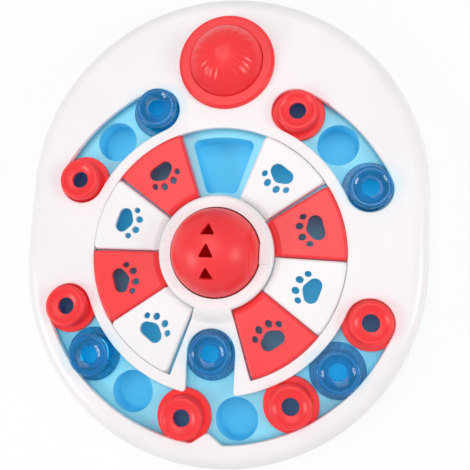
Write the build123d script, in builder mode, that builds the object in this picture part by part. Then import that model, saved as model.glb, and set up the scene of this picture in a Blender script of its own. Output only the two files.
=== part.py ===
from build123d import *
import os
from math import asin, atan2, cos, degrees, radians, sin, sqrt, tan

os.makedirs("parts", exist_ok=True)

# Outline: the oval's straight sides, and how far the wheel axis stands up from the lower arc's centre
outline_straight = 44.0
wheel_offset = 2.7
# Lid left standing outside the slots, and between the slots and the wheel groove
rim_land = 13.1
wheel_land = 7.1

# Heights, from the floor up
foot_height = 3.0
foot_seat = 3.4
ground_gap = 1.6
lip_height = 3.4
deck_thickness = 2.0
# The deck lies this far under the ball's axis
deck_drop = 7.8

# Top shell
shell_wall = 3.0
shoulder_radius = 10.0
edge_round = 0.8
cut_overrun = 1.0

# Slider tracks: middle angle about the wheel axis, and number of places
track_angles = {"upper_right": 44.4, "upper_left": 135.0, "lower": 270.0}
track_counts = {"upper_right": 3, "upper_left": 3, "lower": 8}
slot_width = 28.8
neck_length = 10.5
branch_play = 1.2
branch_run = 40.5
mouth_round = 2.0
tooth_height = 7.4
tooth_half_width = 10.2
tooth_tip_round = 2.5
tooth_root_round = 4.0

# Sliders, and how far off their places two of them stand
slider_rest_angles = {"slider_upper_right_red": -1.4, "slider_lower_3_red": 1.1}
slider_gap = 0.52
flange_hold = 2.7
flange_thickness = 2.6
flange_play = 0.4
flange_round = 0.6
knob_play = 1.0
knob_taper = 0.4
knob_height = 12.0
knob_round = 1.8
knob_wall = 2.6
rim_width = 2.5
dish_depth = 2.2
dish_share = 0.68
dish_thickness = 2.0
scent_hole_radius = 5.35

# Round food cups
cup_margin = 1.2
cup_wall = 1.6
cup_floor_round = 3.0

# Wheel of wedge covers
cell_count = 10
neck_angle = 270.0
groove_corner = 1.0
hub_width = 8.5
hub_cover = 1.1
hub_round = 2.0
hub_rim_share = 0.36
ramp_gap = 1.8
ramp_sink = 0.4

# Wedge food cups
wedge_inner_land = 3.0
wedge_outer_land = 4.8
wedge_gap = 5.6
wedge_corner = 4.0

# Wedge covers, and how far each stands off the middle of its cell
cover_rest_angles = {"right": (-1.5, -1.9, -0.9, 0.1), "left": (1.2, 0.9, 0.2, -0.9)}
cover_play_angle = 1.2
cover_play = 0.5
cover_side_gap = 0.2
cover_rise = 2.0
cover_top_thickness = 2.6
cover_wall = 2.0
cover_corner = 3.0
cover_round = 1.9
cover_bevel_run = 4.0
cover_bevel_drop = 4.0
cover_bevel_share = 0.36
cover_lip = 3.1
# Paw cut-out: the pad, then each pair of toes, measured from the middle of the cover
paw_pad_shift = 4.5
paw_pad_width = 15.8
paw_pad_length = 10.9
paw_corner_round = 4.5
paw_apex_round = 4.8
paw_toe_shifts = (-0.9, -4.4)
paw_toe_sides = (8.6, 3.5)
paw_toe_lengths = (4.3, 5.0)
paw_toe_widths = (3.7, 4.3)

# Treat ball
ball_radius = 28.0
ball_wall = 2.2
ball_flat_depth = 1.0
cap_length = 4.4
ball_play = 0.7
ball_hole_angles = (26.5, -1.2, -30.4)
ball_hole_offset = 1.0
ball_hole_width = 9.4
ball_hole_length = 8.7
ball_hole_round = 0.8
cap_spigot_length = 5.0
cap_spigot_wall = 1.8
cap_spigot_play = 0.25
seam_bevel = 0.4
pin_radius = 1.5
pin_reach = 5.2
pin_play = 0.05
pin_end_play = 0.3
saddle_width = 12.5
saddle_rise = 0.4
saddle_gap = 0.5
saddle_round = 0.3
well_wall = 1.8
well_play = 1.0
well_floor = 1.6
well_clear = 0.6

# Squeaker
squeaker_edge = 46.8
collar_radius = 31.3
collar_width = 7.7
collar_height = 3.4
collar_round = 2.4
collar_lead_in = 0.9
barrel_wall = 2.1
barrel_play = 0.2
barrel_drop = 5.4
lug_count = 3
lug_width = 10.0
lug_reach = 1.4
lug_height = 2.1
lug_clear = 0.8
button_play = 0.4
button_wall = 2.0
button_rise = 1.9
dome_height = 14.5
button_lip_reach = 1.9
button_lip_height = 1.9
button_lip_play = 0.3
push_boss_radius = 7.0
flute_count = 18
flute_radius = 1.1
flute_depth = 0.45
flute_start_angle = 13.0
flute_end_angle = 56.0
dimple_radius = 1.6
dimple_depth = 0.5
bellows_gap = 5.6
bellows_fold = 3.5
bellows_fold_count = 4
bellows_wall = 1.2
reed_radius = 5.0
reed_play = 0.1
reed_flange_reach = 1.4
reed_flange_height = 1.2
reed_rise = 1.6
reed_bore_radius = 1.5

# Tray
tray_gap = 1.8
tray_wall = 1.8

# Feet: the upper pair about the upper arc's centre, the lower pair under two of the cups
foot_radius = 8.0
foot_round = 0.8
foot_rim = 1.0
foot_inset = 13.6
foot_angle = 53.7
foot_cups = ("cup_lower_2", "cup_lower_7")

# Screws: round the rim and at the sides about the wheel axis, at the crown about the upper arc's centre
screw_radius = 1.15
screw_play = 0.05
screw_hole_play = 0.35
screw_length = 6.4
screw_head_radius = 2.2
screw_head_height = 1.7
screw_boss_radius = 2.3
screw_clear = 0.3
screw_drive_length = 2.4
screw_drive_width = 0.7
screw_drive_depth = 1.0
rim_screw_angles = (225.0, 270.0, 315.0)
side_screw_angles = (-8.0, 188.0)
crown_screw_inset = 8.8
crown_screw_angle = 71.0

# Radii on the plan, worked out from the ball outward
hub_radius = ball_radius + hub_width
hub_flat_radius = hub_radius - hub_round
hub_opening_radius = ball_radius + ball_play
well_radius = ball_radius + well_play
branch_width = slot_width + branch_play
branch_top = hub_radius + neck_length
branch_radius = branch_top + branch_width / 2
track_radius = branch_radius + branch_run
groove_radius = track_radius - slot_width / 2 - wheel_land
outline_radius = track_radius + slot_width / 2 + rim_land
tray_radius = outline_radius - shell_wall - tray_gap
flange_radius = slot_width / 2 + flange_hold
knob_radius = slot_width / 2 - knob_play
knob_top_radius = knob_radius - knob_taper
cup_radius = slot_width / 2 - cup_margin
wedge_inner_radius = hub_radius + wedge_inner_land
wedge_outer_radius = groove_radius - wedge_outer_land
cover_inner = hub_radius + cover_play
cover_outer = groove_radius - cover_play
paw_middle = (cover_inner + cover_outer) / 2
ramp_inner_radius = (hub_opening_radius + hub_flat_radius) / 2
ramp_outer_radius = branch_top - ramp_gap
button_radius = collar_radius - collar_width
barrel_bore_radius = button_radius + button_play
barrel_radius = barrel_bore_radius + barrel_wall
squeaker_well_radius = barrel_radius + lug_reach + lug_clear
bellows_radius = button_radius - bellows_gap
foot_boss_radius = foot_radius + foot_rim
rim_screw_radius = track_radius + flange_radius + screw_boss_radius + screw_clear
neck_screw_radius = (hub_radius + branch_top) / 2

# Levels, worked out from the floor up
lip_top = ground_gap + lip_height
cup_under = foot_height + foot_seat
cup_floor = cup_under + cup_wall
ball_axis_height = ground_gap + well_floor + well_clear + ball_radius
deck_top = ball_axis_height - deck_drop
deck_under = deck_top - deck_thickness
flange_top = deck_top + flange_thickness
plate_under = flange_top + flange_play
plate_top = plate_under + shell_wall
hub_top = ball_axis_height + pin_radius + hub_cover
saddle_top = hub_top + saddle_rise
cover_top = plate_top + cover_rise
knob_top = deck_top + knob_height
dish_low = knob_top - dish_depth
barrel_bottom = plate_top - barrel_drop
collar_top = plate_top + collar_height
dome_base = collar_top + button_rise
lip_upper = barrel_bottom - button_lip_play
button_bottom = lip_upper - button_lip_height
bellows_top = plate_under

# Angles and axes
cell_angle = 360 / cell_count
cover_angle = cell_angle - cover_play_angle
open_angle = neck_angle - 180
track_pitch_angle = 2 * degrees(asin((flange_radius + slider_gap / 2) / track_radius))
wheel_y = wheel_offset - outline_straight / 2
crown_y = outline_straight / 2
squeaker_y = crown_y + outline_radius - squeaker_edge
wheel_axis = Axis((0, wheel_y, 0), (0, 0, 1))
ball_axis = Axis((0, wheel_y, ball_axis_height), (1, 0, 0))
squeaker_axis = Axis((0, squeaker_y, 0), (0, 0, 1))


def wheel_point(radius, angle):
    """Place on the plan at a radius and an angle about the wheel axis."""
    return (radius * cos(radians(angle)), wheel_y + radius * sin(radians(angle)))


def wheel_plane(height, angle=0.0):
    """Level plane on the wheel axis, with its X axis turned to an angle."""
    return Plane((0, wheel_y, height), x_dir=(cos(radians(angle)), sin(radians(angle)), 0))


def upright(x, y, angle=0.0):
    """Upright plane through a plan point, turned to an angle, for a profile of radius and height."""
    turn = radians(angle)
    return Plane((x, y, 0), x_dir=(cos(turn), sin(turn), 0), z_dir=(sin(turn), -cos(turn), 0))


def pin_plane(side, x):
    """Plane across the ball's axis at a distance from its middle, facing outward on one side."""
    return Plane((side * x, wheel_y, ball_axis_height), x_dir=(0, 1, 0), z_dir=(side, 0, 0))


def place_angle(track, index):
    """Angle about the wheel axis of one place on a slider track."""
    return track_angles[track] + (index - (track_counts[track] - 1) / 2) * track_pitch_angle


def wedge_outline(sketch, inner, outer, angle, side_inset, corner):
    """Ring piece an angle wide along the sketch's X axis, with its sides set in and its corners rounded."""
    Circle(outer)
    Circle(inner, mode=Mode.SUBTRACT)
    back = side_inset / sin(radians(angle / 2))
    half = outer * tan(radians(angle / 2))
    with BuildLine() as sides:
        Polyline((back, 0), (back + outer, -half), (back + outer, half), close=True)
    make_face(sides.edges(), mode=Mode.INTERSECT)
    if corner:
        fillet(sketch.vertices(), corner)


def dome_arc(radius, base, height):
    """Profile arc of a round dome, from its rim up to its crown."""
    sphere = (radius**2 + height**2) / (2 * height)
    half_angle = asin(radius / sphere) / 2
    middle = (sphere * sin(half_angle), base + height - sphere * (1 - cos(half_angle)))
    return ThreePointArc((radius, base), middle, (0, base + height))


def save(part, name):
    """Label one finished piece and write its file."""
    part.label = name
    export_step(part, f"parts/{name}.step")


cup_places = {
    f"cup_{track}_{index + 1}": wheel_point(track_radius, place_angle(track, index))
    for track, count in track_counts.items()
    for index in range(count)
}
cup_places["cup_branch"] = wheel_point(branch_radius, neck_angle)
cell_angles = [neck_angle + cell_angle * (index + 1) for index in range(cell_count - 1)]
foot_ring = tray_radius - foot_inset
foot_y = crown_y + foot_ring * sin(radians(foot_angle))
foot_bosses = [(side * foot_ring * cos(radians(foot_angle)), foot_y) for side in (-1, 1)]
crown_ring = tray_radius - crown_screw_inset
crown_screw_y = crown_y + crown_ring * sin(radians(crown_screw_angle))
screw_points = [wheel_point(rim_screw_radius, angle) for angle in rim_screw_angles]
screw_points += [wheel_point(track_radius, angle) for angle in side_screw_angles]
screw_points += [(side * crown_ring * cos(radians(crown_screw_angle)), crown_screw_y) for side in (-1, 1)]
screw_points.append(wheel_point(neck_screw_radius, neck_angle))
track_arcs = [
    CenterArc((0, 0), track_radius, place_angle(track, 0), (count - 1) * track_pitch_angle)
    for track, count in track_counts.items()
]

# Outline of the slots in the lid: the three tracks, the branch and the tooth facing its mouth
with BuildSketch(wheel_plane(plate_under)) as slots:
    for arc in track_arcs:
        SlotArc(arc, slot_width)
    with Locations((0, -branch_radius)):
        Circle(branch_width / 2)
    with Locations((0, -(branch_radius + track_radius) / 2)):
        Rectangle(branch_width, track_radius - branch_radius)
    mouth = slots.vertices().filter_by(lambda v: abs(abs(v.X) - branch_width / 2) < mouth_round)
    fillet(mouth.filter_by(lambda v: v.Y < -branch_radius - mouth_round), mouth_round)
    tooth_root = track_radius + slot_width / 2
    tooth_tip = (0, tooth_height - tooth_root)
    with BuildLine():
        Polyline(
            (-tooth_half_width, -tooth_root),
            tooth_tip,
            (tooth_half_width, -tooth_root),
            (0, -tooth_root - tooth_height),
            close=True,
        )
    make_face(mode=Mode.SUBTRACT)
    fillet(slots.vertices().sort_by_distance(tooth_tip)[0], tooth_tip_round)
    for side in (-1, 1):
        fillet(slots.vertices().sort_by_distance((side * tooth_half_width, -tooth_root))[0], tooth_root_round)

# Outline of the wheel groove: a ring that stops at the neck
with BuildSketch(wheel_plane(plate_under)) as groove:
    Circle(groove_radius)
    Circle(hub_radius, mode=Mode.SUBTRACT)
    neck_reach = groove_radius + hub_radius
    neck_half = neck_reach * tan(radians(cell_angle / 2))
    with BuildLine():
        Polyline((0, 0), (-neck_half, -neck_reach), (neck_half, -neck_reach), close=True)
    make_face(mode=Mode.SUBTRACT)
    fillet(groove.vertices(), groove_corner)

with BuildPart() as top_shell:
    with BuildSketch(Plane.XY.offset(lip_top)):
        SlotCenterToCenter(outline_straight, 2 * outline_radius, rotation=90)
    extrude(amount=plate_top - lip_top)
    fillet(top_shell.faces().sort_by(Axis.Z)[-1].edges(), shoulder_radius)
    offset(amount=-shell_wall, openings=top_shell.faces().sort_by(Axis.Z)[0])
    # Slots and the squeaker's hole, with rounded edges
    add(slots.sketch)
    extrude(amount=shell_wall + cut_overrun, mode=Mode.SUBTRACT)
    with BuildSketch(Plane((0, squeaker_y, plate_under))):
        Circle(barrel_radius + barrel_play)
    extrude(amount=shell_wall + cut_overrun, mode=Mode.SUBTRACT)
    top_edges = top_shell.faces().filter_by(Axis.Z).sort_by(Axis.Z)[-1].inner_wires().edges()
    fillet(top_edges, edge_round)
    # Hub with a rounded rim
    with BuildSketch(upright(0, wheel_y)):
        rim_drop = hub_round * hub_rim_share
        with BuildLine():
            Polyline(
                (hub_flat_radius, hub_top),
                (0, hub_top),
                (0, plate_under),
                (hub_radius, plate_under),
                (hub_radius, hub_top - hub_round),
            )
            rim_middle = (hub_radius - rim_drop, hub_top - rim_drop)
            ThreePointArc((hub_radius, hub_top - hub_round), rim_middle, (hub_flat_radius, hub_top))
        make_face()
    revolve(axis=wheel_axis)
    # Ramp that runs down from the hub along the neck
    with BuildSketch(upright(0, wheel_y, neck_angle - cell_angle / 2)):
        ramp_low = (ramp_outer_radius, plate_top - ramp_sink)
        with BuildLine():
            Polyline(
                (hub_flat_radius, hub_top),
                (ramp_inner_radius, hub_top),
                (ramp_inner_radius, plate_under),
                (ramp_outer_radius, plate_under),
                ramp_low,
            )
            ramp_slope = (hub_flat_radius - ramp_outer_radius, ramp_sink + hub_round)
            Spline(ramp_low, (hub_flat_radius, hub_top), tangents=(ramp_slope, (-1, 0)))
        make_face()
    revolve(axis=wheel_axis, revolution_arc=cell_angle)
    add(groove.sketch)
    extrude(amount=hub_top - plate_under + cut_overrun, mode=Mode.SUBTRACT)
    # Saddles that close over the ball's pins
    saddle_inner = ball_radius - ball_flat_depth + saddle_gap
    with BuildSketch(wheel_plane(plate_under)):
        for side in (-1, 1):
            with Locations((side * (hub_flat_radius + saddle_inner) / 2, 0)):
                Rectangle(hub_flat_radius - saddle_inner, saddle_width)
    extrude(amount=saddle_top - plate_under)
    saddle_faces = top_shell.faces().filter_by(Axis.Z).sort_by(Axis.Z)[-2:]
    fillet(saddle_faces.edges(), saddle_round)
    # Opening for the ball, which leaves the flat on the cap's side standing
    with BuildSketch(wheel_plane(plate_under)):
        Circle(hub_opening_radius)
        with Locations((hub_opening_radius, 0)):
            Rectangle(2 * (hub_opening_radius - saddle_inner), saddle_width, mode=Mode.SUBTRACT)
    extrude(amount=saddle_top - plate_under, mode=Mode.SUBTRACT)
    # Slots under the saddles that take the pins and the tray's posts
    pin_end = ball_radius + pin_reach
    for side in (-1, 1):
        with BuildSketch(wheel_plane(plate_under)):
            slot_length = pin_end + pin_end_play - saddle_inner
            with Locations((side * (saddle_inner + slot_length / 2), 0)):
                Rectangle(slot_length, 2 * (pin_radius + pin_play))
        extrude(amount=ball_axis_height - plate_under, mode=Mode.SUBTRACT)
        with BuildSketch(pin_plane(side, saddle_inner)):
            Circle(pin_radius + pin_play)
        extrude(amount=slot_length, mode=Mode.SUBTRACT)
    # Screw bosses under the plate
    with BuildSketch(Plane.XY.offset(deck_top)):
        with Locations(*screw_points):
            Circle(screw_boss_radius)
    extrude(amount=plate_under - deck_top + cut_overrun)
    with BuildSketch(Plane.XY.offset(deck_top)):
        with Locations(*screw_points):
            Circle(screw_radius + screw_play)
    extrude(amount=screw_length - deck_thickness, mode=Mode.SUBTRACT)
save(top_shell.part, "top_shell")

with BuildPart() as base_tray:
    # Deck, outer wall and the lip that the lid stands on
    with BuildSketch(Plane.XY.offset(ground_gap)):
        SlotCenterToCenter(outline_straight, 2 * outline_radius, rotation=90)
    extrude(amount=lip_height)
    with BuildSketch(Plane.XY.offset(ground_gap)):
        SlotCenterToCenter(outline_straight, 2 * tray_radius, rotation=90)
    extrude(amount=deck_top - ground_gap)
    with BuildSketch(Plane.XY.offset(ground_gap)):
        SlotCenterToCenter(outline_straight, 2 * (tray_radius - tray_wall), rotation=90)
    extrude(amount=deck_under - ground_gap, mode=Mode.SUBTRACT)
    # Well for the ball, and tubes down to the upper feet
    with BuildSketch(wheel_plane(ground_gap)):
        Circle(well_radius + well_wall)
    extrude(amount=plate_under - ground_gap)
    with BuildSketch(wheel_plane(ground_gap + well_floor)):
        Circle(well_radius)
    extrude(amount=plate_under - ground_gap, mode=Mode.SUBTRACT)
    with BuildSketch(Plane.XY.offset(foot_height)):
        with Locations(*foot_bosses):
            Circle(foot_boss_radius)
    extrude(amount=deck_under - foot_height)
    with BuildSketch(Plane.XY.offset(cup_floor)):
        with Locations(*foot_bosses):
            Circle(foot_boss_radius - cup_wall)
    extrude(amount=deck_under - cup_floor, mode=Mode.SUBTRACT)
    # Mouths of the cups and of the squeaker's well
    with BuildSketch(Plane.XY.offset(deck_under)):
        with Locations(*cup_places.values()):
            Circle(cup_radius)
        with Locations((0, squeaker_y)):
            Circle(squeaker_well_radius)
    extrude(amount=deck_thickness, mode=Mode.SUBTRACT)
    for angle in cell_angles:
        with BuildSketch(wheel_plane(deck_under, angle)) as wedge:
            wedge_outline(
                wedge, wedge_inner_radius, wedge_outer_radius, cell_angle, wedge_gap / 2, wedge_corner
            )
        extrude(amount=deck_thickness, mode=Mode.SUBTRACT)
    # Posts that carry the ball's pins from below
    for side in (-1, 1):
        with BuildSketch(wheel_plane(plate_under)):
            post_length = pin_end - well_radius
            with Locations((side * (well_radius + post_length / 2), 0)):
                Rectangle(post_length, 2 * pin_radius)
        extrude(amount=ball_axis_height - plate_under)
        with BuildSketch(pin_plane(side, well_radius)):
            Circle(pin_radius + pin_play)
        extrude(amount=post_length, mode=Mode.SUBTRACT)
    # Holes for the screws
    with BuildSketch(Plane.XY.offset(deck_under)):
        with Locations(*screw_points):
            Circle(screw_radius + screw_hole_play)
    extrude(amount=deck_thickness, mode=Mode.SUBTRACT)
save(base_tray.part, "base_tray")

# Round cups under the deck, two of them with a pad for a foot
for name, (x, y) in cup_places.items():
    with BuildPart() as cup:
        with BuildSketch(upright(x, y)) as cup_section:
            with BuildLine():
                Polyline(
                    (0, cup_under),
                    (cup_radius + cup_wall, cup_under),
                    (cup_radius + cup_wall, deck_under),
                    (cup_radius, deck_under),
                    (cup_radius, cup_floor),
                    (0, cup_floor),
                    close=True,
                )
            make_face()
            fillet(cup_section.vertices().sort_by_distance((cup_radius, cup_floor))[0], cup_floor_round)
        revolve(axis=Axis((x, y, 0), (0, 0, 1)))
        if name in foot_cups:
            with BuildSketch(Plane((x, y, foot_height))):
                Circle(foot_boss_radius)
            extrude(amount=foot_seat)
    save(cup.part, name)

# Wedge cups under the wheel, numbered round from the neck
for index, angle in enumerate(cell_angles):
    with BuildPart() as wedge_cup:
        with BuildSketch(wheel_plane(cup_under, angle)) as outside:
            outside_inner = wedge_inner_radius - cup_wall
            outside_outer = wedge_outer_radius + cup_wall
            outside_inset = wedge_gap / 2 - cup_wall
            outside_corner = wedge_corner + cup_wall
            wedge_outline(outside, outside_inner, outside_outer, cell_angle, outside_inset, outside_corner)
        extrude(amount=deck_under - cup_under)
        with BuildSketch(wheel_plane(cup_floor, angle)) as inside:
            wedge_outline(
                inside, wedge_inner_radius, wedge_outer_radius, cell_angle, wedge_gap / 2, wedge_corner
            )
        extrude(amount=deck_under - cup_floor, mode=Mode.SUBTRACT)
        fillet(wedge_cup.edges().filter_by_position(Axis.Z, cup_floor, cup_floor), cup_floor_round)
    save(wedge_cup.part, f"wedge_cup_{index + 1}")

# Wedge covers, numbered away from the empty cell at the top
cover_angles = {}
for index in range(cell_count // 2 - 1):
    step = cell_angle * (index + 1)
    cover_angles[f"cover_right_{index + 1}"] = open_angle - step + cover_rest_angles["right"][index]
    cover_angles[f"cover_left_{index + 1}"] = open_angle + step + cover_rest_angles["left"][index]

for name, angle in cover_angles.items():
    with BuildPart() as cover:
        with BuildSketch(wheel_plane(deck_top, angle)) as lips:
            lip_inner = cover_inner - cover_lip
            lip_outer = cover_outer + cover_lip
            wedge_outline(lips, lip_inner, lip_outer, cover_angle, cover_side_gap, 0)
        extrude(amount=flange_thickness)
        with BuildSketch(wheel_plane(deck_top, angle)) as body:
            wedge_outline(body, cover_inner, cover_outer, cover_angle, cover_side_gap, cover_corner)
        extrude(amount=cover_top - deck_top)
        fillet(cover.faces().filter_by(Axis.Z).sort_by(Axis.Z)[-1].edges(), cover_round)
        # Rounded slope down to the hub, cut about the wheel axis
        with BuildSketch(upright(0, wheel_y)):
            slope_low = (cover_inner, cover_top - cover_bevel_drop)
            slope_high = (cover_inner + cover_bevel_run, cover_top)
            slope_x = cover_inner + cover_bevel_run * cover_bevel_share
            slope_z = cover_top - cover_bevel_drop * cover_bevel_share
            with BuildLine():
                ThreePointArc(slope_low, (slope_x, slope_z), slope_high)
                Polyline(
                    slope_high,
                    (cover_inner + cover_bevel_run, cover_top + cut_overrun),
                    (cover_inner - cut_overrun, cover_top + cut_overrun),
                    (cover_inner - cut_overrun, cover_top - cover_bevel_drop),
                    slope_low,
                )
            make_face()
        revolve(axis=wheel_axis, mode=Mode.SUBTRACT)
        with BuildSketch(wheel_plane(deck_top, angle)) as hollow:
            hollow_inner = cover_inner + cover_wall
            hollow_outer = cover_outer - cover_wall
            hollow_inset = cover_side_gap + cover_wall
            wedge_outline(hollow, hollow_inner, hollow_outer, cover_angle, hollow_inset, cover_corner)
        extrude(amount=cover_top - cover_top_thickness - deck_top, mode=Mode.SUBTRACT)
        # Paw cut-out, with its toes towards the hub
        with BuildSketch(wheel_plane(cover_top - cover_top_thickness, angle)):
            pad_middle = paw_middle + paw_pad_shift
            pad_base = pad_middle + paw_pad_length / 2 - paw_corner_round
            pad_side = paw_pad_width / 2 - paw_corner_round
            with Locations((pad_base, -pad_side), (pad_base, pad_side)):
                Circle(paw_corner_round)
            with Locations((pad_middle - paw_pad_length / 2 + paw_apex_round, 0)):
                Circle(paw_apex_round)
            make_hull()
            toes = zip(paw_toe_shifts, paw_toe_sides, paw_toe_lengths, paw_toe_widths)
            for shift, aside, length, width in toes:
                for toe_y in (-aside, aside):
                    toe_x = paw_middle + shift
                    with Locations(Location((toe_x, toe_y), degrees(atan2(toe_y, toe_x)))):
                        Ellipse(length / 2, width / 2)
        extrude(amount=cover_top_thickness + cut_overrun, mode=Mode.SUBTRACT)
    save(cover.part, name)

# Sliders: a trapped flange under a hollow knob with a dished top and a scent hole
slider_angles = {
    "slider_upper_right_blue": place_angle("upper_right", 0),
    "slider_upper_right_red": place_angle("upper_right", 2),
    "slider_upper_left_blue": place_angle("upper_left", 0),
    "slider_upper_left_red": place_angle("upper_left", 2),
    "slider_lower_1_red": place_angle("lower", 0),
    "slider_lower_2_blue": place_angle("lower", 1),
    "slider_lower_3_red": place_angle("lower", 3),
    "slider_lower_4_red": place_angle("lower", 5),
    "slider_lower_5_blue": place_angle("lower", 6),
    "slider_lower_6_red": place_angle("lower", 7),
}
slider_places = {
    name: wheel_point(track_radius, angle + slider_rest_angles.get(name, 0))
    for name, angle in slider_angles.items()
}
slider_places["slider_branch_blue"] = wheel_point(branch_radius, neck_angle)
for name, (x, y) in slider_places.items():
    with BuildPart() as slider:
        with BuildSketch(upright(x, y)) as section:
            dish_rim = (knob_top_radius - rim_width, knob_top)
            dish_radius = (dish_rim[0] + scent_hole_radius) / 2
            dish_middle = (dish_radius, knob_top - dish_depth * dish_share)
            with BuildLine():
                Polyline(
                    (scent_hole_radius, dish_low),
                    (scent_hole_radius, dish_low - dish_thickness),
                    (knob_radius - knob_wall, dish_low - dish_thickness),
                    (knob_radius - knob_wall, deck_top),
                    (flange_radius, deck_top),
                    (flange_radius, flange_top),
                    (knob_radius, flange_top),
                    (knob_top_radius, knob_top),
                    dish_rim,
                )
                ThreePointArc(dish_rim, dish_middle, (scent_hole_radius, dish_low))
            make_face()
            rim = section.vertices().group_by(Axis.Y)[-1]
            fillet(rim.sort_by(Axis.X)[-1], knob_round)
            flange_edge = section.vertices().group_by(Axis.X)[-1]
            fillet(flange_edge.sort_by(Axis.Y)[-1], flange_round)
        revolve(axis=Axis((x, y, 0), (0, 0, 1)))
    save(slider.part, name)

# Treat ball: a hollow sphere with a flat on the cap's end, parted at the seam of its cap
ball_bore = ball_radius - ball_wall
ball_flat = ball_radius - ball_flat_depth
ball_seam = ball_flat - cap_length
flat_radius = sqrt(ball_radius**2 - ball_flat**2)
seam_radius = sqrt(ball_radius**2 - ball_seam**2)
mouth_radius = sqrt(ball_bore**2 - ball_seam**2)
end_wall = ball_flat - ball_wall
end_wall_radius = sqrt(ball_bore**2 - end_wall**2)
spigot_radius = mouth_radius - cap_spigot_play
spigot_bore = spigot_radius - cap_spigot_wall
ball_plane = Plane((0, wheel_y, ball_axis_height))

with BuildPart() as ball_shell:
    with BuildSketch(ball_plane):
        with BuildLine():
            ThreePointArc((-ball_radius, 0), (0, ball_radius), (ball_seam, seam_radius))
            Line((ball_seam, seam_radius), (ball_seam, mouth_radius))
            ThreePointArc((ball_seam, mouth_radius), (0, ball_bore), (-ball_bore, 0))
            Line((-ball_bore, 0), (-ball_radius, 0))
        make_face()
    revolve(axis=ball_axis)
    with BuildSketch(pin_plane(-1, ball_flat)):
        Circle(pin_radius)
    extrude(amount=pin_end - ball_flat)
    for angle in ball_hole_angles:
        outward = (0, sin(radians(angle)), cos(radians(angle)))
        hole_plane = Plane((-ball_hole_offset, wheel_y, ball_axis_height), x_dir=(1, 0, 0), z_dir=outward)
        with BuildSketch(hole_plane) as hole:
            with BuildLine():
                Polyline(
                    (-ball_hole_width / 2, -ball_hole_length / 2),
                    (ball_hole_width / 2, -ball_hole_length / 2),
                    (0, ball_hole_length / 2),
                    close=True,
                )
            make_face()
            fillet(hole.vertices(), ball_hole_round)
        extrude(amount=ball_radius + cut_overrun, mode=Mode.SUBTRACT)
save(ball_shell.part, "ball_shell")

with BuildPart() as ball_cap:
    with BuildSketch(ball_plane):
        cap_middle = (ball_flat + ball_seam) / 2
        with BuildLine():
            Polyline(
                (ball_seam, seam_radius),
                (ball_seam, spigot_radius),
                (ball_seam - cap_spigot_length, spigot_radius),
                (ball_seam - cap_spigot_length, spigot_bore),
                (ball_seam, spigot_bore),
                (end_wall, end_wall_radius),
                (end_wall, 0),
                (ball_flat, 0),
                (ball_flat, flat_radius),
            )
            cap_crown = (cap_middle, sqrt(ball_radius**2 - cap_middle**2))
            ThreePointArc((ball_flat, flat_radius), cap_crown, (ball_seam, seam_radius))
        make_face()
    revolve(axis=ball_axis)
    seam_edge = ball_cap.edges().filter_by_position(Axis.X, ball_seam, ball_seam).sort_by(SortBy.LENGTH)[-1]
    chamfer(seam_edge, seam_bevel)
    with BuildSketch(pin_plane(1, ball_flat)):
        Circle(pin_radius)
    extrude(amount=pin_end - ball_flat)
save(ball_cap.part, "ball_cap")

# Squeaker: collar on the lid, domed button, its well under the deck, bellows and reed
with BuildPart() as squeaker_collar:
    with BuildSketch(upright(0, squeaker_y)) as ring:
        with BuildLine():
            Polyline(
                (barrel_bore_radius, barrel_bottom),
                (barrel_radius, barrel_bottom),
                (barrel_radius, plate_top),
                (collar_radius, plate_top),
                (collar_radius, collar_top),
                (barrel_bore_radius, collar_top),
                close=True,
            )
        make_face()
        collar_corners = ring.vertices().group_by(Axis.Y)[-1].sort_by(Axis.X)
        fillet(collar_corners[-1], collar_round)
        fillet(collar_corners[0], collar_lead_in)
    revolve(axis=squeaker_axis)
    with BuildSketch(Plane((0, squeaker_y, barrel_bottom))):
        with PolarLocations(barrel_radius, lug_count):
            Rectangle(2 * lug_reach, lug_width)
    extrude(amount=lug_height)
save(squeaker_collar.part, "squeaker_collar")

dome_sphere = (button_radius**2 + dome_height**2) / (2 * dome_height)
dome_centre = (0, squeaker_y, dome_base + dome_height - dome_sphere)
flute_path = dome_sphere + flute_radius - flute_depth
with BuildPart() as squeaker_button:
    with BuildSketch(upright(0, squeaker_y)):
        button_bore = button_radius - button_wall
        with BuildLine():
            Polyline(
                (button_bore, dome_base),
                (button_bore, button_bottom),
                (button_radius + button_lip_reach, button_bottom),
                (button_radius + button_lip_reach, lip_upper),
                (button_radius, lip_upper),
                (button_radius, dome_base),
            )
            dome_arc(button_radius, dome_base, dome_height)
            Line((0, dome_base + dome_height), (0, dome_base + dome_height - button_wall))
            dome_arc(button_bore, dome_base, dome_height - button_wall)
        make_face()
    revolve(axis=squeaker_axis)
    with BuildSketch(Plane((0, squeaker_y, bellows_top))):
        Circle(push_boss_radius)
    extrude(amount=dome_base + dome_height - button_wall - bellows_top)
    for index in range(flute_count):
        turn = radians(index * 360 / flute_count)
        lean = radians(flute_start_angle)
        across = (-sin(turn), cos(turn), 0)
        along = (cos(lean) * cos(turn), cos(lean) * sin(turn), -sin(lean))
        start = (
            flute_path * sin(lean) * cos(turn),
            squeaker_y + flute_path * sin(lean) * sin(turn),
            dome_centre[2] + flute_path * cos(lean),
        )
        with BuildSketch(Plane(start, x_dir=across, z_dir=along)):
            Circle(flute_radius)
        flute_sweep = flute_end_angle - flute_start_angle
        revolve(axis=Axis(dome_centre, across), revolution_arc=flute_sweep, mode=Mode.SUBTRACT)
    with Locations((0, squeaker_y, dome_base + dome_height + dimple_radius - dimple_depth)):
        Sphere(dimple_radius, mode=Mode.SUBTRACT)
save(squeaker_button.part, "squeaker_button")

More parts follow.
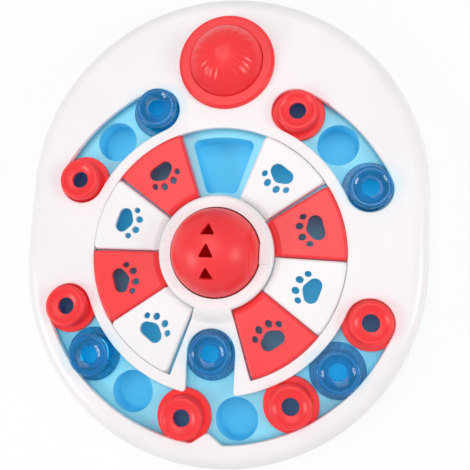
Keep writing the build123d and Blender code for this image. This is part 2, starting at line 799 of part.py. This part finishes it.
reed_hole = reed_radius + reed_play
with BuildPart() as squeaker_well:
    with BuildSketch(upright(0, squeaker_y)) as well_section:
        with BuildLine():
            Polyline(
                (reed_hole, cup_under),
                (squeaker_well_radius + cup_wall, cup_under),
                (squeaker_well_radius + cup_wall, deck_under),
                (squeaker_well_radius, deck_under),
                (squeaker_well_radius, cup_floor),
                (reed_hole, cup_floor),
                close=True,
            )
        make_face()
        well_corner = well_section.vertices().sort_by_distance((squeaker_well_radius, cup_floor))[0]
        fillet(well_corner, cup_floor_round)
    revolve(axis=squeaker_axis)
save(squeaker_well.part, "squeaker_well")

bellows_span = bellows_top - cup_floor - 2 * bellows_wall
fold_points = []
for index in range(2 * bellows_fold_count + 1):
    fold_radius = bellows_radius - bellows_fold * ((index + 1) % 2)
    fold_height = cup_floor + bellows_wall + bellows_span * index / (2 * bellows_fold_count)
    fold_points.append((fold_radius, fold_height))
with BuildPart() as squeaker_bellows:
    with BuildSketch(upright(0, squeaker_y)):
        with BuildLine():
            Polyline(
                (reed_hole, cup_floor),
                (bellows_radius - bellows_fold, cup_floor),
                *fold_points,
                (bellows_radius - bellows_fold, bellows_top),
                (0, bellows_top),
                (0, bellows_top - bellows_wall),
                *[(radius - bellows_wall, height) for radius, height in reversed(fold_points)],
                (reed_hole, cup_floor + bellows_wall),
                close=True,
            )
        make_face()
    revolve(axis=squeaker_axis)
save(squeaker_bellows.part, "squeaker_bellows")

with BuildPart() as squeaker_reed:
    with BuildSketch(upright(0, squeaker_y)):
        with BuildLine():
            Polyline(
                (reed_bore_radius, cup_under - reed_flange_height),
                (reed_radius + reed_flange_reach, cup_under - reed_flange_height),
                (reed_radius + reed_flange_reach, cup_under),
                (reed_radius, cup_under),
                (reed_radius, cup_floor + reed_rise),
                (reed_bore_radius, cup_floor + reed_rise),
                close=True,
            )
        make_face()
    revolve(axis=squeaker_axis)
save(squeaker_reed.part, "squeaker_reed")

# Rubber feet
foot_places = {
    "foot_lower_left": cup_places[foot_cups[0]],
    "foot_lower_right": cup_places[foot_cups[1]],
    "foot_upper_left": foot_bosses[0],
    "foot_upper_right": foot_bosses[1],
}
for name, (x, y) in foot_places.items():
    with BuildPart() as foot:
        with BuildSketch(Plane((x, y, 0))):
            Circle(foot_radius)
        extrude(amount=foot_height)
        fillet(foot.faces().sort_by(Axis.Z)[0].edges(), foot_round)
    save(foot.part, name)

# Screws up through the deck into the lid, with cross recesses
with BuildPart() as shell_screws:
    with BuildSketch(Plane.XY.offset(deck_under - screw_head_height)):
        with Locations(*screw_points):
            Circle(screw_head_radius)
    extrude(amount=screw_head_height)
    with BuildSketch(Plane.XY.offset(deck_under)):
        with Locations(*screw_points):
            Circle(screw_radius)
    extrude(amount=screw_length)
    with BuildSketch(Plane.XY.offset(deck_under - screw_head_height)):
        with Locations(*screw_points):
            Rectangle(screw_drive_length, screw_drive_width)
            Rectangle(screw_drive_width, screw_drive_length)
    extrude(amount=screw_drive_depth, mode=Mode.SUBTRACT)
save(shell_screws.part, "shell_screws")
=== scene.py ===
"""Dog slow feeder: finishes, soft pieces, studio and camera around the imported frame."""

import logging
from collections.abc import Callable
from dataclasses import dataclass
from enum import Enum
from math import asin, cos, pi, radians, sin

import bmesh
import bpy
from mathutils import Euler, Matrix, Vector


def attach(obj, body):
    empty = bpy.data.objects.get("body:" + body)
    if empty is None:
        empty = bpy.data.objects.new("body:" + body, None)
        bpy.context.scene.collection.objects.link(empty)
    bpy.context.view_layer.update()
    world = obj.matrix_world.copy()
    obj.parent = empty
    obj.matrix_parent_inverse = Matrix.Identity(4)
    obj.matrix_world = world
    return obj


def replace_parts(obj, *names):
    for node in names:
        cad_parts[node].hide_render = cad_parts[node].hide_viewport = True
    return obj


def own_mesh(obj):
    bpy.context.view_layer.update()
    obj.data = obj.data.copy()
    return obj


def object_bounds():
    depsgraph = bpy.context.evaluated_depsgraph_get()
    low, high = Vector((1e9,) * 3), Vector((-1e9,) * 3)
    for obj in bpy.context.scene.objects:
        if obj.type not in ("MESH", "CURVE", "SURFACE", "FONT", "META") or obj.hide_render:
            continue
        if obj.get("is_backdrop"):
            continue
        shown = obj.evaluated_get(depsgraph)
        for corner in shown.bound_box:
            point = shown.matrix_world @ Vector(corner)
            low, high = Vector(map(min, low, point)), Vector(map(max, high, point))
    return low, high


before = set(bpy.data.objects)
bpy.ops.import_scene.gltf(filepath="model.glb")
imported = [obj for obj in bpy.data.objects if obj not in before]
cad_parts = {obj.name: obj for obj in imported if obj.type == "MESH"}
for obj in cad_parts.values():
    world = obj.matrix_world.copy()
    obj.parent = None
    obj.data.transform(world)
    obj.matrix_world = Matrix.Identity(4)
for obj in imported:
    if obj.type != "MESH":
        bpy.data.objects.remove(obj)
cad_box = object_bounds()

log = logging.getLogger("feeder")

Triple = tuple[float, float, float]
Profile = list[tuple[float, float]]
Tree = bpy.types.NodeTree
Node = bpy.types.Node


class Tone(Enum):
    """Colours of the mouldings, as linear light, with painted shade in the cups' tone."""

    SHELL_WHITE = (0.93, 0.895, 0.91)
    COVER_WHITE = (0.935, 0.91, 0.92)
    CORAL_RED = (0.98, 0.042, 0.049)
    TRAY_BLUE = (0.26, 0.76, 0.98)
    # The tray's own plastic, darkened and deepened as painted shade for the insides of the cups.
    CUP_BLUE_PAINTED_SHADE = (0.15, 0.72, 1.0)
    DEEP_BLUE = (0.002, 0.38, 0.66)
    VINYL_WHITE = (0.8, 0.79, 0.76)
    FOOT_GREY = (0.2, 0.2, 0.21)
    ZINC = (0.62, 0.61, 0.6)

    def rgba(self, share: float = 1.0) -> tuple[float, float, float, float]:
        """The colour with full alpha, darkened to a share of itself.

        Args:
            share: Brightness beside the full colour.

        Returns:
            Red, green, blue and alpha.
        """
        red, green, blue = self.value
        return (red * share, green * share, blue * share, 1.0)


@dataclass(frozen=True)
class Moulding:
    """A moulded plastic, rubber or metal finish with flow marks, a fine grain and uneven gloss."""

    name: str
    tone: Tone
    roughness: float = 0.3
    roughness_spread: float = 0.06
    flow_share: float = 0.96
    flow_scale: float = 28.0
    flow_detail: float = 3.0
    flow_low: float = 0.3
    flow_high: float = 0.7
    gloss_scale: float = 84.0
    gloss_detail: float = 4.0
    grain_scale: float = 1400.0
    grain_detail: float = 2.0
    grain_strength: float = 0.05
    grain_depth: float = 0.00006
    coat: float = 0.15
    coat_roughness: float = 0.12
    lamp_tint: Triple = (0.0, 0.0, 0.0)
    clearness: float = 0.0
    refraction: float = 1.46
    specular: float = 0.5
    metal: float = 0.0

    def material(self) -> bpy.types.Material:
        """Make the finish, or find it if it is made.

        Returns:
            The node material of this finish.
        """
        found = bpy.data.materials.get(self.name)
        if found:
            return found
        made = bpy.data.materials.new(self.name)
        made.use_nodes = True
        tree = made.node_tree
        shader = tree.nodes["Principled BSDF"]
        place = tree.nodes.new("ShaderNodeTexCoord")
        self._colour(tree, shader, place)
        self._gloss(tree, shader, place)
        self._grain(tree, shader, place)
        shader.inputs["Metallic"].default_value = self.metal
        shader.inputs["IOR"].default_value = self.refraction
        shader.inputs["Specular IOR Level"].default_value = self.specular
        shader.inputs["Coat Weight"].default_value = self.coat
        shader.inputs["Coat Roughness"].default_value = self.coat_roughness
        shader.inputs["Transmission Weight"].default_value = self.clearness
        if any(self.lamp_tint):
            self._pass_lamps(tree, shader)
        return made

    def _noise(self, tree: Tree, place: Node, scale: float, detail: float) -> Node:
        """Noise over the piece's own coordinates.

        Args:
            tree: Node tree of the finish.
            place: Texture coordinate node.
            scale: Waves per metre.
            detail: Octaves of the noise.

        Returns:
            The noise node.
        """
        noise = tree.nodes.new("ShaderNodeTexNoise")
        noise.inputs["Scale"].default_value = scale
        noise.inputs["Detail"].default_value = detail
        tree.links.new(place.outputs["Object"], noise.inputs["Vector"])
        return noise

    def _colour(self, tree: Tree, shader: Node, place: Node) -> None:
        """Let the colour drift a little, as pigment does in a moulding.

        Args:
            tree: Node tree of the finish.
            shader: Shader that takes the colour.
            place: Texture coordinate node.
        """
        noise = self._noise(tree, place, self.flow_scale, self.flow_detail)
        ramp = tree.nodes.new("ShaderNodeValToRGB")
        low, high = ramp.color_ramp.elements
        low.position, low.color = self.flow_low, self.tone.rgba(self.flow_share)
        high.position, high.color = self.flow_high, self.tone.rgba()
        tree.links.new(noise.outputs["Fac"], ramp.inputs["Fac"])
        tree.links.new(ramp.outputs["Color"], shader.inputs["Base Color"])

    def _gloss(self, tree: Tree, shader: Node, place: Node) -> None:
        """Vary the gloss between polished and handled patches.

        Args:
            tree: Node tree of the finish.
            shader: Shader that takes the roughness.
            place: Texture coordinate node.
        """
        noise = self._noise(tree, place, self.gloss_scale, self.gloss_detail)
        spread = tree.nodes.new("ShaderNodeMapRange")
        spread.inputs["To Min"].default_value = self.roughness - self.roughness_spread
        spread.inputs["To Max"].default_value = self.roughness + self.roughness_spread
        tree.links.new(noise.outputs["Fac"], spread.inputs["Value"])
        tree.links.new(spread.outputs["Result"], shader.inputs["Roughness"])

    def _grain(self, tree: Tree, shader: Node, place: Node) -> None:
        """Give the surface the fine tooth of a moulding tool.

        Args:
            tree: Node tree of the finish.
            shader: Shader that takes the bump.
            place: Texture coordinate node.
        """
        noise = self._noise(tree, place, self.grain_scale, self.grain_detail)
        bump = tree.nodes.new("ShaderNodeBump")
        bump.inputs["Strength"].default_value = self.grain_strength
        bump.inputs["Distance"].default_value = self.grain_depth
        tree.links.new(noise.outputs["Fac"], bump.inputs["Height"])
        tree.links.new(bump.outputs["Normal"], shader.inputs["Normal"])

    def _pass_lamps(self, tree: Tree, shader: Node) -> None:
        """Let lamp light through to what lies behind, tinted, as thin plastic does.

        Args:
            tree: Node tree of the finish.
            shader: Shader that all other rays meet.
        """
        path = tree.nodes.new("ShaderNodeLightPath")
        clear = tree.nodes.new("ShaderNodeBsdfTransparent")
        clear.inputs["Color"].default_value = (*self.lamp_tint, 1.0)
        mix = tree.nodes.new("ShaderNodeMixShader")
        tree.links.new(path.outputs["Is Shadow Ray"], mix.inputs["Fac"])
        tree.links.new(shader.outputs["BSDF"], mix.inputs[1])
        tree.links.new(clear.outputs["BSDF"], mix.inputs[2])
        tree.links.new(mix.outputs["Shader"], tree.nodes["Material Output"].inputs["Surface"])


class Finish(Enum):
    """The finishes of the feeder."""

    SHELL = Moulding("shell_white", Tone.SHELL_WHITE, roughness=0.34)
    COVER_WHITE = Moulding("cover_white", Tone.COVER_WHITE, lamp_tint=(0.53, 0.72, 0.75))
    COVER_RED = Moulding("cover_red", Tone.CORAL_RED, roughness=0.34, lamp_tint=(0.95, 0.05, 0.06))
    RED = Moulding(
        "coral_red",
        Tone.CORAL_RED,
        specular=0.38,
        coat=0.06,
        lamp_tint=(0.75, 0.05, 0.28),
    )
    BALL = Moulding(
        "ball_red",
        Tone.CORAL_RED,
        roughness=0.38,
        coat=0.0,
        lamp_tint=(0.45, 0.02, 0.04),
    )
    # Cups: the tray's blue with painted shade, standing in for the shadow in the deep recesses.
    CUP = Moulding("cup_blue_painted_shade", Tone.CUP_BLUE_PAINTED_SHADE, roughness=0.4, specular=0.2, coat=0.0)
    TRAY = Moulding("tray_blue", Tone.TRAY_BLUE, roughness=0.32)
    TINTED = Moulding(
        "tinted_blue",
        Tone.DEEP_BLUE,
        roughness=0.1,
        clearness=0.8,
        coat=0.1,
        grain_strength=0.02,
        lamp_tint=(0.1, 0.88, 0.95),
    )
    BUTTON = Moulding("button_vinyl", Tone.CORAL_RED, roughness=0.24, specular=0.42, coat=0.0)
    BELLOWS = Moulding("bellows_vinyl", Tone.VINYL_WHITE, roughness=0.5, coat=0.0)
    FOOT = Moulding("foot_rubber", Tone.FOOT_GREY, roughness=0.75, coat=0.0, grain_strength=0.25)
    SCREW = Moulding("screw_zinc", Tone.ZINC, roughness=0.32, metal=1.0, coat=0.0)

    def dress(self, *pieces: bpy.types.Object) -> None:
        """Put this finish on pieces, in place of what they wear.

        Args:
            pieces: Objects to dress.
        """
        for piece in pieces:
            piece.data.materials.clear()
            piece.data.materials.append(self.value.material())


def nodes_named(start: str, end: str = "") -> list[bpy.types.Object]:
    """CAD nodes whose names start and end with given words.

    Args:
        start: First part of the names.
        end: Last part of the names.

    Returns:
        The nodes, in order of name.
    """
    return [
        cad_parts[name]
        for name in sorted(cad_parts)
        if name.startswith(start) and name.endswith(end)
    ]


def new_piece(name: str, mesh: bmesh.types.BMesh) -> bpy.types.Object:
    """Turn a bmesh into a smoothly shaded object of the scene.

    Args:
        name: Name of the piece.
        mesh: The finished bmesh, which is freed.

    Returns:
        The new object.
    """
    bmesh.ops.recalc_face_normals(mesh, faces=mesh.faces)
    for face in mesh.faces:
        face.smooth = True
    data = bpy.data.meshes.new(name)
    mesh.to_mesh(data)
    mesh.free()
    piece = bpy.data.objects.new(name, data)
    bpy.context.scene.collection.objects.link(piece)
    return piece


@dataclass
class Shells:
    """Lid, tray, feet and screws."""

    def dress(self) -> None:
        """Give the fixed mouldings their finishes."""
        Finish.SHELL.dress(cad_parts["top_shell"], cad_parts["squeaker_reed"])
        Finish.TRAY.dress(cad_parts["base_tray"], *nodes_named("squeaker_well"))
        # The cups wear the tray's blue with painted shade.
        Finish.CUP.dress(*nodes_named("cup_"), *nodes_named("wedge_cup_"))
        Finish.FOOT.dress(*nodes_named("foot_"))
        Finish.SCREW.dress(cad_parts["shell_screws"])
        log.info("shells, feet and screws dressed")


@dataclass
class CoverWheel:
    """The wedge covers, red and white by turns."""

    red_names: tuple[str, ...] = ("cover_right_2", "cover_right_4", "cover_left_1", "cover_left_3")

    def dress(self) -> None:
        """Give each cover its colour."""
        for cover in nodes_named("cover_"):
            finish = Finish.COVER_RED if cover.name in self.red_names else Finish.COVER_WHITE
            finish.dress(cover)
        log.info("covers dressed")


@dataclass
class Sliders:
    """The knob sliders, opaque red and tinted blue."""

    def dress(self) -> None:
        """Give each slider the colour in its name."""
        Finish.RED.dress(*nodes_named("slider_", "red"))
        Finish.TINTED.dress(*nodes_named("slider_", "blue"))
        log.info("sliders dressed")


@dataclass
class TreatBall:
    """The spinning ball and its cap."""

    def dress(self) -> None:
        """Give both halves their red."""
        Finish.BALL.dress(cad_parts["ball_shell"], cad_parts["ball_cap"])
        log.info("ball dressed")


@dataclass
class Squeaker:
    """The collar, the fluted soft button and the bellows under it."""

    centre_y: float = 0.1052
    around: int = 216
    button_radius: float = 0.0236
    button_wall: float = 0.002
    bottom: float = 0.0224
    lip_upper: float = 0.0243
    lip_reach: float = 0.0019
    dome_base: float = 0.0353
    dome_height: float = 0.0145
    dome_rings: int = 60
    flute_count: int = 20
    flute_depth: float = 0.00035
    flute_start: float = 0.2
    flute_end: float = 0.86
    flute_fade: float = 0.6
    dimple_radius: float = 0.0013
    dimple_depth: float = 0.0006
    boss_radius: float = 0.007
    bellows_bottom: float = 0.008
    bellows_top: float = 0.027
    bellows_radius: float = 0.018
    bellows_fold: float = 0.0035
    bellows_folds: int = 4
    bellows_wall: float = 0.0012
    bellows_hole: float = 0.0051
    bellows_rings: int = 64
    press: float = 0.007

    def build(self) -> None:
        """Make the soft pieces and dress the collar."""
        Finish.BUTTON.dress(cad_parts["squeaker_collar"])
        button = self._button()
        Finish.BUTTON.dress(button)
        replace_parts(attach(button, "squeaker_button"), "squeaker_button")
        bellows = self._bellows()
        Finish.BELLOWS.dress(bellows)
        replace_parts(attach(bellows, "feeder_frame"), "squeaker_bellows")
        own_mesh(bellows)
        log.info("squeaker button and bellows built")

    def _turned(
        self, name: str, outline: Profile, dent: Callable[[int, float], float] | None = None
    ) -> bpy.types.Object:
        """Turn an outline of radius and height about the squeaker's axis.

        Args:
            name: Name of the piece.
            outline: Points from one pole to the other, or a closed loop where there is no pole.
            dent: Optional function of ring index and turn that says how far a point is lowered.

        Returns:
            The turned piece.
        """
        mesh = bmesh.new()
        rings = []
        for index, (radius, height) in enumerate(outline):
            if radius <= 0:
                rings.append([mesh.verts.new((0, self.centre_y, height))])
                continue
            ring = []
            for step in range(self.around):
                turn = 2 * pi * step / self.around
                drop = dent(index, turn) if dent else 0.0
                x, y = radius * cos(turn), self.centre_y + radius * sin(turn)
                ring.append(mesh.verts.new((x, y, height - drop)))
            rings.append(ring)
        closed = all(len(ring) > 1 for ring in rings)
        pairs = list(zip(rings, rings[1:] + rings[:1])) if closed else list(zip(rings, rings[1:]))
        for lower, upper in pairs:
            for step in range(self.around):
                following = (step + 1) % self.around
                corners = [lower[step % len(lower)], lower[following % len(lower)]]
                corners += [upper[following % len(upper)], upper[step % len(upper)]]
                mesh.faces.new(list(dict.fromkeys(corners)))
        return new_piece(name, mesh)

    def _button(self) -> bpy.types.Object:
        """The soft dome with radial flutes and a dimple, its skirt and the boss inside it.

        Returns:
            The button.
        """
        sphere = (self.button_radius**2 + self.dome_height**2) / (2 * self.dome_height)
        top = self.dome_base + self.dome_height
        steep = asin(self.button_radius / sphere)
        inner = self.button_radius - self.button_wall
        inner_height = self.dome_height - self.button_wall
        inner_sphere = (inner**2 + inner_height**2) / (2 * inner_height)
        inner_steep = asin(inner / inner_sphere)
        boss_lean = asin(self.boss_radius / inner_sphere)
        outline: Profile = [(0.0, self.bellows_top), (self.boss_radius, self.bellows_top)]
        inner_rings = self.dome_rings // 2
        for step in range(inner_rings + 1):
            lean = boss_lean + (inner_steep - boss_lean) * step / inner_rings
            drop = inner_sphere * (1 - cos(lean))
            outline.append((inner_sphere * sin(lean), top - self.button_wall - drop))
        outline.append((inner, self.bottom))
        outline.append((self.button_radius + self.lip_reach, self.bottom))
        outline.append((self.button_radius + self.lip_reach, self.lip_upper))
        outline.append((self.button_radius, self.lip_upper))
        first_dome_ring = len(outline)
        leans = [steep * (1 - step / self.dome_rings) for step in range(self.dome_rings + 1)]
        for lean in leans:
            outline.append((sphere * sin(lean), top - sphere * (1 - cos(lean))))

        def dent(index: int, turn: float) -> float:
            """How far a point of the dome sinks into a flute or the dimple.

            Args:
                index: Ring of the outline.
                turn: Angle about the axis, in radians.

            Returns:
                The drop, in metres.
            """
            if index < first_dome_ring:
                return 0.0
            lean = leans[index - first_dome_ring]
            share = lean / steep
            drop = 0.0
            if self.flute_start < share < self.flute_end:
                along = (share - self.flute_start) / (self.flute_end - self.flute_start)
                window = sin(pi * along) ** self.flute_fade
                wave = (1 + cos(self.flute_count * turn)) / 2
                drop += self.flute_depth * window * wave**2
            radius = sphere * sin(lean)
            if radius < self.dimple_radius:
                drop += self.dimple_depth * (1 + cos(pi * radius / self.dimple_radius)) / 2
            return drop

        return self._turned("squeaker_dome", outline, dent)

    def _bellows(self) -> bpy.types.Object:
        """The soft bellows, with rounded folds and an open foot over the reed.

        Returns:
            The bellows.
        """
        span = self.bellows_top - self.bellows_bottom - 2 * self.bellows_wall
        middle = self.bellows_radius - self.bellows_fold / 2
        folds: Profile = []
        for step in range(self.bellows_rings + 1):
            share = step / self.bellows_rings
            wave = -cos(2 * pi * self.bellows_folds * share)
            height = self.bellows_bottom + self.bellows_wall + span * share
            folds.append((middle + wave * self.bellows_fold / 2, height))
        valley = self.bellows_radius - self.bellows_fold
        outline: Profile = [(0.0, self.bellows_top - self.bellows_wall)]
        outline += [(radius - self.bellows_wall, height) for radius, height in reversed(folds)]
        outline.append((self.bellows_hole, self.bellows_bottom + self.bellows_wall))
        outline.append((self.bellows_hole, self.bellows_bottom))
        outline.append((valley, self.bellows_bottom))
        outline += folds
        outline.append((valley, self.bellows_top))
        outline.append((0.0, self.bellows_top))
        return self._turned("bellows_soft", outline)


@dataclass(frozen=True)
class Lamp:
    """A softbox, placed by its direction from the feeder."""

    name: str
    azimuth: float
    elevation: float
    distance: float
    width: float
    height: float
    power: float

    def build(self, target: Vector) -> None:
        """Make the lamp and turn it to the feeder.

        Args:
            target: The point that it faces.
        """
        data = bpy.data.lights.new(self.name, "AREA")
        data.shape = "RECTANGLE"
        data.size = self.width
        data.size_y = self.height
        data.energy = self.power
        lamp = bpy.data.objects.new(self.name, data)
        bpy.context.scene.collection.objects.link(lamp)
        turn, rise = radians(self.azimuth), radians(self.elevation)
        side = Vector((cos(turn) * cos(rise), sin(turn) * cos(rise), sin(rise)))
        lamp.location = target + side * self.distance
        lamp.rotation_mode = "QUATERNION"
        lamp.rotation_quaternion = (-side).to_track_quat("-Z", "Y")


@dataclass
class Studio:
    """Floor, light and camera."""

    camera_place: Triple = (0.06274, -0.04403, 0.36714)
    camera_turn_deg: Triple = (6.543, 8.362, 2.957)
    lens: float = 41.925
    sensor: float = 36.0
    near_clip: float = 0.01
    floor_size: float = 12.0
    floor_tone: Triple = (0.93, 0.93, 0.93)
    floor_roughness: float = 0.9
    backdrop_share: float = 0.8
    world_tone: Triple = (1.0, 1.0, 1.0)
    world_strength: float = 0.45
    lamps: tuple[Lamp, ...] = (
        Lamp(
            "left_softbox",
            azimuth=-155.0,
            elevation=34.0,
            distance=1.1,
            width=0.45,
            height=0.3,
            power=3.3,
        ),
        Lamp(
            "right_softbox",
            azimuth=-6.0,
            elevation=30.0,
            distance=1.1,
            width=0.35,
            height=0.3,
            power=2.9,
        ),
        Lamp(
            "top_softbox",
            azimuth=110.0,
            elevation=72.0,
            distance=1.3,
            width=0.9,
            height=0.9,
            power=4.4,
        ),
        Lamp(
            "front_softbox",
            azimuth=-35.0,
            elevation=80.0,
            distance=1.3,
            width=0.8,
            height=0.8,
            power=1.6,
        ),
    )

    def build(self) -> None:
        """Set the view transform and make the floor, the light and the camera."""
        bpy.context.scene.view_settings.view_transform = "Standard"
        self._floor()
        self._world()
        target = (cad_box[0] + cad_box[1]) / 2
        for lamp in self.lamps:
            lamp.build(target)
        self._camera()
        log.info("studio built")

    def _floor(self) -> None:
        """A pale floor that shows white to the camera and still takes the shadow."""
        bpy.ops.mesh.primitive_plane_add(size=self.floor_size)
        floor = bpy.context.object
        floor.name = "floor"
        floor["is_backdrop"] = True
        paint = bpy.data.materials.new("pale_floor")
        paint.use_nodes = True
        tree = paint.node_tree
        shader = tree.nodes["Principled BSDF"]
        shader.inputs["Base Color"].default_value = (*self.floor_tone, 1.0)
        shader.inputs["Roughness"].default_value = self.floor_roughness
        shine = tree.nodes.new("ShaderNodeEmission")
        seen = self._seen_directly(tree)
        share = tree.nodes.new("ShaderNodeMath")
        share.operation = "MULTIPLY"
        share.inputs[1].default_value = self.backdrop_share
        mix = tree.nodes.new("ShaderNodeMixShader")
        tree.links.new(seen, share.inputs[0])
        tree.links.new(share.outputs["Value"], mix.inputs["Fac"])
        tree.links.new(shader.outputs["BSDF"], mix.inputs[1])
        tree.links.new(shine.outputs["Emission"], mix.inputs[2])
        tree.links.new(mix.outputs["Shader"], tree.nodes["Material Output"].inputs["Surface"])
        floor.data.materials.append(paint)

    def _seen_directly(self, tree: Tree) -> bpy.types.NodeSocket:
        """One for rays from the camera, a glossy surface or a clear one.

        Args:
            tree: Node tree to add the nodes to.

        Returns:
            The socket that holds the value.
        """
        path = tree.nodes.new("ShaderNodeLightPath")
        total = path.outputs["Is Camera Ray"]
        for name in ("Is Glossy Ray", "Is Transmission Ray"):
            either = tree.nodes.new("ShaderNodeMath")
            either.operation = "MAXIMUM"
            tree.links.new(total, either.inputs[0])
            tree.links.new(path.outputs[name], either.inputs[1])
            total = either.outputs["Value"]
        return total

    def _world(self) -> None:
        """An even white surround."""
        world = bpy.data.worlds.new("white_room")
        bpy.context.scene.world = world
        world.use_nodes = True
        ground = world.node_tree.nodes["Background"]
        ground.inputs["Color"].default_value = (*self.world_tone, 1.0)
        ground.inputs["Strength"].default_value = self.world_strength

    def _camera(self) -> None:
        """The camera, where the photograph was taken from."""
        data = bpy.data.cameras.new("camera")
        data.lens = self.lens
        data.sensor_width = self.sensor
        data.clip_start = self.near_clip
        camera = bpy.data.objects.new("camera", data)
        camera.location = self.camera_place
        camera.rotation_euler = Euler([radians(angle) for angle in self.camera_turn_deg], "XYZ")
        bpy.context.scene.collection.objects.link(camera)
        bpy.context.scene.camera = camera


def write_sizes() -> None:
    """Work out the CAD box and the visual model's box; nothing is written or returned.
    """
    boxes = {"cad": cad_box, "visual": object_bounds()}
    boxes = {name: [list(corner) for corner in corners] for name, corners in boxes.items()}


def main() -> None:
    """Build the sub-assemblies in order."""
    logging.basicConfig(level=logging.INFO)
    Shells().dress()
    CoverWheel().dress()
    Sliders().dress()
    TreatBall().dress()
    Squeaker().build()
    Studio().build()
    write_sizes()


if __name__ == "__main__":
    main()
